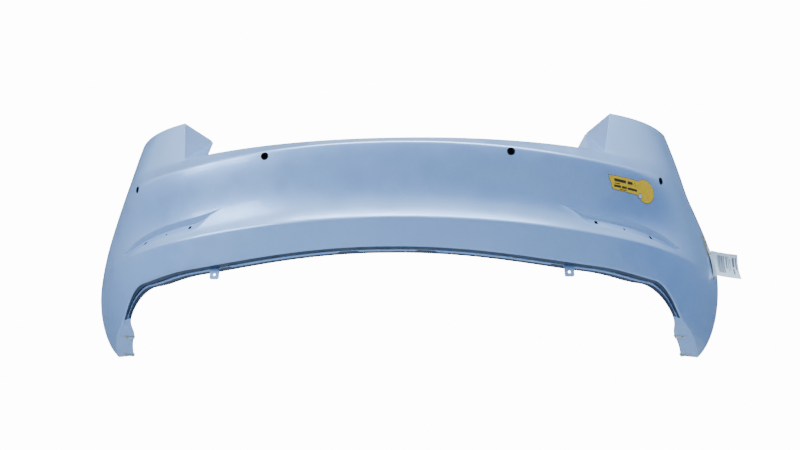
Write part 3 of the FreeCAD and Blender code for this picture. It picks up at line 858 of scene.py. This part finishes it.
def finish_paper(name, bm, material, thickness, away, replaced=None):
    """Turns the sheet's faces outward, gives it its thickness, hides the CAD part it replaces and hangs it on
    the root body.
    """
    bm.normal_update()
    if sum((f.normal for f in bm.faces), Vector()).dot(Vector(away)) < 0:
        bmesh.ops.reverse_faces(bm, faces=bm.faces[:])
    obj = make_object(name, bm, [material])
    thicken(obj, thickness, offset=1.0)
    shade(obj, 50)
    if replaced:
        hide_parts(replaced)
    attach(obj, "root")


def skin_finder(skin):
    """Functions that give the skin's point and normal as met from the rear and from the right."""
    tree = BVHTree.FromObject(skin, bpy.context.evaluated_depsgraph_get())

    def hit(start, direction):
        return tree.ray_cast(Vector(to_row(start)), Vector(direction))[:2]

    def beside(y, z):
        """Beyond the trimmed edge the paper goes straight on."""
        held = min(y, trim_y(z) - 0.002)
        point, n = hit((1.4, held, z), (-1, 0, 0))
        return point + Vector((0, y - held, 0)), n

    return lambda x, z: hit((x, -0.5, z), (0, 1, 0)), beside


# ---- sticker: a keyhole outline, in X and Z ----
BAR_LEFT, BAR_LOW_LEFT = (0.548, 0.600), (0.561, 0.567)
DISC = (0.656, 0.581, 0.028)
DISC_FROM, DISC_TO = math.radians(133), math.radians(-148)
EMBLEM, RING = (0.6405, 0.5665, 0.0065), (0.6235, 0.5895, 0.0036)
BORDER_W = 0.0011
# plain bars in place of words: (X from, X to, Z low, Z high)
BARS = ((0.565, 0.598, 0.5868, 0.5935), (0.6025, 0.617, 0.5868, 0.5935), (0.566, 0.581, 0.5815, 0.5838),
        (0.565, 0.584, 0.5738, 0.5790), (0.5865, 0.600, 0.5738, 0.5790), (0.6025, 0.630, 0.5738, 0.5790),
        (0.580, 0.600, 0.5695, 0.5715))


def circle(cx, cz, radius):
    return arc(cx, cz, radius, 0, -2 * math.pi, 29)[:-1]


def rectangle(x0, x1, z0, z1):
    return [(x0, z1), (x1, z1), (x1, z0), (x0, z0)]


def build_decal(behind, vinyl, ink, pale):
    outline = [BAR_LEFT] + arc(*DISC, DISC_FROM, DISC_TO, 40) + [BAR_LOW_LEFT]
    bm = bmesh.new()
    patch_on(bm, outline, behind, STUCK_LIFT, PAPER_CELL)
    finish_paper("decal_vinyl", bm, vinyl, STUCK_T, TO_REAR, "decal")
    bm = bmesh.new()
    line_on(bm, outline, BORDER_W, behind, INK_LIFT, 0.002)
    for bar in BARS:
        patch_on(bm, rectangle(*bar), behind, INK_LIFT, 0.002)
    line_on(bm, circle(*EMBLEM), 0.0009, behind, INK_LIFT + 0.0002, 0.001)
    line_on(bm, circle(*RING), 0.0008, behind, INK_LIFT, 0.001)
    finish_paper("decal_print", bm, ink, INK_T, TO_REAR)
    bm = bmesh.new()
    patch_on(bm, circle(*EMBLEM), behind, INK_LIFT + 0.00003, 0.002)
    finish_paper("decal_emblem", bm, pale, 0.00008, TO_REAR)


# ---- tape and folded label on the right wing: outlines in Y and Z ----
TAPE = [(0.416, 0.541), (0.434, 0.545), (0.474, 0.500), (0.452, 0.486)]
TAPE_END = [(0.486, 0.446), (0.510, 0.452), (0.507, 0.436), (0.490, 0.430)]
FOLDED = [(0.452, 0.518), (0.492, 0.526), (0.530, 0.460), (0.490, 0.436)]
FOLDED_T, FOLDED_PRINT_LIFT = 0.0006, 0.00125
# bulge of the folded paper: where it starts, its direction, length and height
BULGE_FROM, BULGE_WAY, BULGE_LENGTH, BULGE_H = (0.472, 0.522), (0.45, -0.89), 0.085, 0.0022
FRAME_PRINT = [(0.462, 0.515), (0.482, 0.519), (0.486, 0.510), (0.466, 0.506)]
BAR_PRINT = [(0.469, 0.503), (0.489, 0.507), (0.490, 0.504), (0.470, 0.500)]


def build_wing_papers(beside, tape, paper, ink):
    bm = bmesh.new()
    for outline in (TAPE, TAPE_END):
        patch_on(bm, outline, beside, STUCK_LIFT, PAPER_CELL)
    finish_paper("label_tape_strip", bm, tape, STUCK_T, TO_RIGHT, "label_tape")

    def puffed(y, z):
        """The folded paper stands a little off the tape between its ends."""
        point, n = beside(y, z)
        along = (y - BULGE_FROM[0]) * BULGE_WAY[0] + (z - BULGE_FROM[1]) * BULGE_WAY[1]
        lift = BULGE_H * math.sin(math.pi * min(max(along / BULGE_LENGTH, 0), 1))
        return point + n * lift, n

    bm = bmesh.new()
    patch_on(bm, FOLDED, puffed, FOLDED_T, PAPER_CELL)
    finish_paper("folded_label_paper", bm, paper, FOLDED_T, TO_RIGHT, "folded_label")
    bm = bmesh.new()
    line_on(bm, FRAME_PRINT, 0.0012, puffed, FOLDED_PRINT_LIFT, 0.002)
    patch_on(bm, BAR_PRINT, puffed, FOLDED_PRINT_LIFT, 0.002)
    finish_paper("folded_label_print", bm, ink, INK_T, TO_RIGHT)


# ---- loose label: a gently curled sheet that hangs from the wing ----
FLAG_ROOT, FLAG_W, FLAG_H = np.array((0.940, 0.548, 0.536)), 0.082, 0.078
FLAG_BOW, FLAG_LEAN, FLAG_DROOP = 0.009, 0.014, 0.010
FLAG_CURL, FLAG_T, FLAG_PRINT_LIFT, FLAG_CELL = 0.004, 0.0003, 0.0004, 0.05
# plain bars as shares of the label: (left, right, top, bottom)
STRIPES = tuple((0.24 + 0.030 * k, 0.256 + 0.030 * k + 0.004 * (k % 3), 0.12, 0.80) for k in range(9))
BLOCKS = ((0.56, 0.60, 0.12, 0.60), (0.64, 0.66, 0.12, 0.72), (0.70, 0.72, 0.20, 0.66),
          (0.79, 0.86, 0.14, 0.52), (0.79, 0.84, 0.58, 0.82), (0.90, 0.94, 0.14, 0.60))


def flag_surface(across, down):
    """Point and normal of the loose label; both parameters run from 0 to 1."""
    def point(a, v):
        bow = FLAG_BOW * math.sin(math.pi * v) + FLAG_CURL * math.sin(math.pi * a)
        forward = bow + FLAG_LEAN * a - FLAG_CURL * v
        return Vector(to_row(FLAG_ROOT + (FLAG_W * a, forward, -FLAG_H * v - FLAG_DROOP * a)))

    d = 1e-3
    n = (point(across + d, down) - point(across, down)).cross(point(across, down) - point(across, down + d))
    return point(across, down), n.normalized()


def build_flag(paper, ink):
    bm = bmesh.new()
    patch_on(bm, [(0, 0), (1, 0), (1, 1), (0, 1)], flag_surface, 0.0, FLAG_CELL)
    finish_paper("label_flag_paper", bm, paper, FLAG_T, TO_REAR, "label_flag")
    bm = bmesh.new()
    for bar in STRIPES + BLOCKS:
        patch_on(bm, rectangle(*bar), flag_surface, FLAG_PRINT_LIFT, FLAG_CELL)
    finish_paper("label_flag_print", bm, ink, INK_T, TO_REAR)


# ---- materials ----
class Nodes:
    """A node tree, with short ways to add to it."""

    def __init__(self, tree):
        self.tree = tree

    def node(self, kind, inputs=(), **settings):
        """A new node; inputs are (socket name, value or output)."""
        node = self.tree.nodes.new(kind)
        for key, value in settings.items():
            setattr(node, key, value)
        for name, value in inputs:
            self.give(node.inputs[name], value)
        return node

    def link(self, output, target):
        self.tree.links.new(output, target)

    def give(self, target, value):
        """Feeds a socket from an output, or sets it to a number or a colour."""
        if isinstance(value, bpy.types.NodeSocket):
            self.link(value, target)
        else:
            target.default_value = (*value, 1) if isinstance(value, tuple) else value

    def ramp(self, value, stops):
        """Colour or grey by value: stops are (place, colour)."""
        node = self.node("ShaderNodeValToRGB", [("Fac", value)])
        elements = node.color_ramp.elements
        for k, (place, colour) in enumerate(stops):
            element = elements[k] if k < 2 else elements.new(place)
            element.position = place
            element.color = (*colour, 1) if isinstance(colour, tuple) else (colour, colour, colour, 1)
        return node.outputs["Color"]

    def mix(self, factor, first, second, blend="MIX"):
        node = self.node("ShaderNodeMix", [("Factor", factor)], data_type="RGBA", blend_type=blend)
        for name, value in (("A", first), ("B", second)):
            self.give(next(i for i in node.inputs if i.type == "RGBA" and i.name == name), value)
        return next(o for o in node.outputs if o.type == "RGBA")


class Finish(Nodes):
    """A principled material with procedural detail."""

    def __init__(self, name, specular=0.5, constants=()):
        self.material = bpy.data.materials.new(name)
        self.material.use_nodes = True
        super().__init__(self.material.node_tree)
        self.shader = self.tree.nodes["Principled BSDF"]
        for socket, value in (("Specular IOR Level", specular), *constants):
            self.shader.inputs[socket].default_value = value

    def coordinates(self, stretch=(1, 1, 1)):
        mapping = self.node("ShaderNodeMapping")
        mapping.inputs["Scale"].default_value = stretch
        self.link(self.node("ShaderNodeTexCoord").outputs["Object"], mapping.inputs["Vector"])
        return mapping.outputs["Vector"]

    def noise(self, scale, detail=3.0, stretch=(1, 1, 1)):
        inputs = [("Scale", scale), ("Detail", detail), ("Vector", self.coordinates(stretch))]
        return self.node("ShaderNodeTexNoise", inputs).outputs["Fac"]

    def cells(self, scale, feature="F1"):
        inputs = [("Scale", scale), ("Vector", self.coordinates())]
        return self.node("ShaderNodeTexVoronoi", inputs, feature=feature).outputs["Distance"]

    def colour(self, value, stops):
        self.link(self.ramp(value, stops), self.shader.inputs["Base Color"])

    def roughness(self, value, low, high):
        self.link(self.ramp(value, ((0.3, low), (0.7, high))), self.shader.inputs["Roughness"])

    def bump(self, value, strength, distance):
        inputs = [("Strength", strength), ("Distance", distance), ("Height", value)]
        self.link(self.node("ShaderNodeBump", inputs).outputs["Normal"], self.shader.inputs["Normal"])


def tint(colour, factor):
    return tuple(min(c * factor, 1.0) for c in colour)


def pearl_paint():
    """Pale pearl under clear coat, its base colour tinted blue as painted sky light: soft clouding, fine
    flake and faint orange peel.
    """
    # the blue of this base colour is painted sky light on pale pearl paint
    base = (0.36, 0.54, 0.90)
    f = Finish("pearl_paint", 0.5, (("Metallic", 0.55), ("Coat Weight", 0.8), ("Coat Roughness", 0.06)))
    cloud = f.ramp(f.noise(3.2, 2.0), ((0.3, tint(base, 0.97)), (0.7, tint(base, 1.04))))
    flake = f.ramp(f.noise(1400.0, 1.0), ((0.35, 0.94), (0.65, 1.0)))
    f.link(f.mix(1.0, cloud, flake, "MULTIPLY"), f.shader.inputs["Base Color"])
    f.roughness(f.noise(18.0, 4.0), 0.30, 0.42)
    f.bump(f.noise(420.0, 2.0), 0.05, 0.0004)
    return f.material


def painted_underside_shade():
    """Painted shade for the underside of the lower edge: a dark blue-grey in place of the paint, where shade
    falls.
    """
    f = Finish("painted_underside_shade", 0.3, (("Metallic", 0.2),))
    f.colour(f.noise(14.0, 4.0), ((0.3, (0.034, 0.044, 0.078)), (0.75, (0.058, 0.072, 0.118))))
    f.roughness(f.noise(30.0, 3.0), 0.4, 0.55)
    f.bump(f.noise(700.0, 2.0), 0.12, 0.0003)
    return f.material


def bare_plastic():
    """Unpainted dark moulding on the inside, misted by overspray."""
    f = Finish("bare_plastic", 0.4)
    f.colour(f.noise(5.0, 5.0), ((0.35, (0.055, 0.058, 0.063)), (0.62, (0.085, 0.090, 0.100)),
                                 (0.85, (0.19, 0.22, 0.27))))
    f.roughness(f.noise(40.0, 3.0), 0.48, 0.66)
    f.bump(f.noise(900.0, 2.0), 0.25, 0.0003)
    return f.material


def black_plastic():
    f = Finish("black_plastic", 0.35)
    f.colour(f.noise(60.0, 4.0), ((0.3, (0.012, 0.012, 0.013)), (0.7, (0.024, 0.024, 0.026))))
    f.roughness(f.noise(120.0, 2.0), 0.45, 0.6)
    f.bump(f.cells(1800.0), 0.2, 0.0002)
    return f.material


def shaded_plastic():
    """Near-black plastic with painted shade, for the walls and floors deep inside slots and clip holes."""
    f = Finish("shaded_plastic", 0.08)
    f.colour(f.noise(90.0, 3.0), ((0.3, (0.004, 0.004, 0.005)), (0.7, (0.008, 0.008, 0.010))))
    f.roughness(f.noise(120.0, 2.0), 0.8, 0.95)
    f.bump(f.cells(1500.0), 0.2, 0.0002)
    return f.material


def adhesive_foam():
    f = Finish("adhesive_foam", 0.2)
    f.colour(f.cells(1500.0), ((0.1, (0.06, 0.06, 0.062)), (0.6, (0.17, 0.17, 0.175))))
    f.roughness(f.noise(300.0), 0.8, 0.95)
    f.bump(f.cells(1500.0), 0.6, 0.0003)
    return f.material


def zinc_steel():
    f = Finish("zinc_steel", 0.5, (("Metallic", 0.95),))
    f.colour(f.cells(260.0, "SMOOTH_F1"), ((0.1, (0.50, 0.50, 0.49)), (0.7, (0.72, 0.73, 0.72))))
    f.roughness(f.noise(90.0, 4.0, (1, 8, 1)), 0.25, 0.45)
    f.bump(f.noise(500.0, 2.0, (1, 10, 1)), 0.15, 0.0001)
    return f.material


def yellow_vinyl():
    f = Finish("yellow_vinyl", 0.5, (("Coat Weight", 0.3), ("Coat Roughness", 0.15)))
    f.colour(f.noise(70.0, 5.0), ((0.3, (0.80, 0.46, 0.0)), (0.7, (0.92, 0.56, 0.002))))
    f.roughness(f.noise(200.0, 3.0), 0.35, 0.5)
    f.bump(f.noise(600.0, 2.0), 0.1, 0.0001)
    return f.material


def printed(name, dark, light):
    f = Finish(name, 0.35)
    f.colour(f.noise(900.0, 4.0), ((0.3, dark), (0.75, light)))
    f.roughness(f.noise(400.0), 0.45, 0.6)
    f.bump(f.noise(1500.0, 2.0), 0.08, 0.00005)
    return f.material


def kraft_tape():
    f = Finish("kraft_tape", 0.4)
    fibres = f.noise(260.0, 5.0, (1, 1, 9))
    f.colour(fibres, ((0.3, (0.20, 0.16, 0.075)), (0.7, (0.36, 0.29, 0.15))))
    f.roughness(f.noise(90.0), 0.45, 0.7)
    f.bump(f.noise(220.0, 6.0, (1, 1, 5)), 0.5, 0.0006)
    return f.material


def label_paper():
    f = Finish("label_paper", 0.3)
    fibres = f.noise(700.0, 6.0, (1, 5, 1))
    f.colour(fibres, ((0.3, (0.62, 0.70, 0.80)), (0.7, (0.76, 0.83, 0.90))))
    f.roughness(f.noise(150.0), 0.7, 0.9)
    f.bump(f.noise(80.0, 6.0), 0.35, 0.0008)
    return f.material


def floor_finish():
    f = Finish("studio_floor")
    f.colour(f.noise(2.0), ((0.3, (0.44, 0.49, 0.56)), (0.7, (0.48, 0.53, 0.60))))
    f.roughness(f.noise(8.0), 0.75, 0.9)
    return f.material


# ---- camera, light and floor ----
CAMERA_PLACE, CAMERA_TURN = (0.151, -1.596, -0.773), (109.342, -0.635, 4.006)   # metres, degrees
LENS, SENSOR_WIDTH = 31.5, 36.0
FLOOR_Z, FLOOR_HALF = -1.45, 7.0

# name, place, target, size, power, spread in degrees, colour
LIGHTS = (("overhead", (0.2, -1.6, 2.8), (0, 0.1, -0.2), (4.4, 1.4), 84, 100, (0.84, 0.93, 1.0)),
          ("inside_fill", (0.3, 2.4, 2.4), (0, 0.2, -0.1), (2.6, 1.2), 2.5, 130, (0.90, 0.95, 1.0)),
          ("left_fill", (-2.7, -1.9, 0.5), (-0.5, 0.1, -0.15), (1.8, 1.4), 26, 120, (0.78, 0.90, 1.0)))

# surroundings: colours from straight down (0) to straight up (1), on each side
AROUND_RIGHT = ((0.0, (0.03, 0.06, 0.13)), (0.46, (0.04, 0.10, 0.28)), (0.54, (0.05, 0.14, 0.38)),
                (0.58, (0.24, 0.42, 0.76)), (0.63, (0.66, 0.84, 1.0)), (1.0, (0.82, 0.95, 1.0)))
AROUND_LEFT = ((0.0, (0.05, 0.10, 0.19)), (0.45, (0.22, 0.36, 0.62)), (0.53, (0.40, 0.56, 0.86)),
               (0.58, (0.52, 0.70, 0.98)), (0.63, (0.74, 0.90, 1.0)), (1.0, (0.86, 0.97, 1.0)))
LEFT_TO_RIGHT, TO_FRONT, AROUND_FRONT = (-0.50, 0.05), (0.05, 0.45), (0.14, 0.22, 0.38)
WORLD_STRENGTH, BACKDROP_STRENGTH = 1.2, 14.0


def area_light(name, place, target, size, power, spread, colour):
    data = bpy.data.lights.new(name, "AREA")
    data.shape = "RECTANGLE"
    data.size, data.size_y = size
    data.energy = power
    data.spread = math.radians(spread)
    data.color = colour
    light = add_object(name, data)
    light.location = place
    light.rotation_euler = (Vector(target) - Vector(place)).to_track_quat("-Z", "Y").to_euler()


def studio_world():
    """Soft surroundings, bluer and darker at eye level and paler on the left; the camera sees plain white."""
    world = bpy.data.worlds.new("studio")
    world.use_nodes = True
    bpy.context.scene.world = world
    n = Nodes(world.node_tree)
    direction = n.node("ShaderNodeTexCoord").outputs["Generated"]
    split = n.node("ShaderNodeSeparateXYZ", [("Vector", direction)])

    def share(axis, start, end):
        inputs = [("Value", split.outputs[axis]), ("From Min", start), ("From Max", end)]
        return n.node("ShaderNodeMapRange", inputs).outputs["Result"]

    height = share("Z", -1.0, 1.0)
    soft = n.mix(share("X", *LEFT_TO_RIGHT), n.ramp(height, AROUND_LEFT), n.ramp(height, AROUND_RIGHT))
    soft = n.mix(share("Y", *TO_FRONT), soft, AROUND_FRONT)
    lit = n.tree.nodes["Background"]
    n.give(lit.inputs["Color"], soft)
    n.give(lit.inputs["Strength"], WORLD_STRENGTH)
    white = n.node("ShaderNodeBackground", [("Color", (1, 1, 1)), ("Strength", BACKDROP_STRENGTH)])
    seen = n.node("ShaderNodeLightPath").outputs["Is Camera Ray"]
    shown = n.node("ShaderNodeMixShader", [("Fac", seen)])
    n.link(lit.outputs["Background"], shown.inputs[1])
    n.link(white.outputs["Background"], shown.inputs[2])
    n.link(shown.outputs["Shader"], n.tree.nodes["World Output"].inputs["Surface"])


def build_studio():
    camera = add_object("camera", bpy.data.cameras.new("camera"))
    camera.data.lens = LENS
    camera.data.sensor_width = SENSOR_WIDTH
    camera.location = CAMERA_PLACE
    camera.rotation_euler = [math.radians(a) for a in CAMERA_TURN]
    bpy.context.scene.camera = camera

    bm = bmesh.new()
    bmesh.ops.create_grid(bm, x_segments=8, y_segments=8, size=FLOOR_HALF)
    bmesh.ops.translate(bm, verts=bm.verts, vec=(0, 0, FLOOR_Z))
    floor = make_object("floor", bm, [floor_finish()])

    for light in LIGHTS:
        area_light(*light)
    studio_world()


def refinish_cad_nodes():
    finishes = {"sensor_holder": black_plastic(), "holder_pad": adhesive_foam(), "clip_nut": zinc_steel()}
    for name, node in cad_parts.items():
        for start, material in finishes.items():
            if name.startswith(start):
                node.data.materials.clear()
                node.data.materials.append(material)


def main():
    paint, paper = pearl_paint(), label_paper()
    skin = build_skin(paint, bare_plastic(), painted_underside_shade(), shaded_plastic())
    build_tabs(paint)
    behind, beside = skin_finder(skin)
    ink = printed("dark_ink", (0.020, 0.016, 0.008), (0.060, 0.045, 0.020))
    build_decal(behind, yellow_vinyl(), ink, printed("pale_print", (0.42, 0.50, 0.60), (0.60, 0.68, 0.78)))
    build_wing_papers(beside, kraft_tape(), paper, ink)
    build_flag(paper, printed("grey_print", (0.10, 0.12, 0.16), (0.22, 0.25, 0.30)))
    refinish_cad_nodes()
    build_studio()


main()
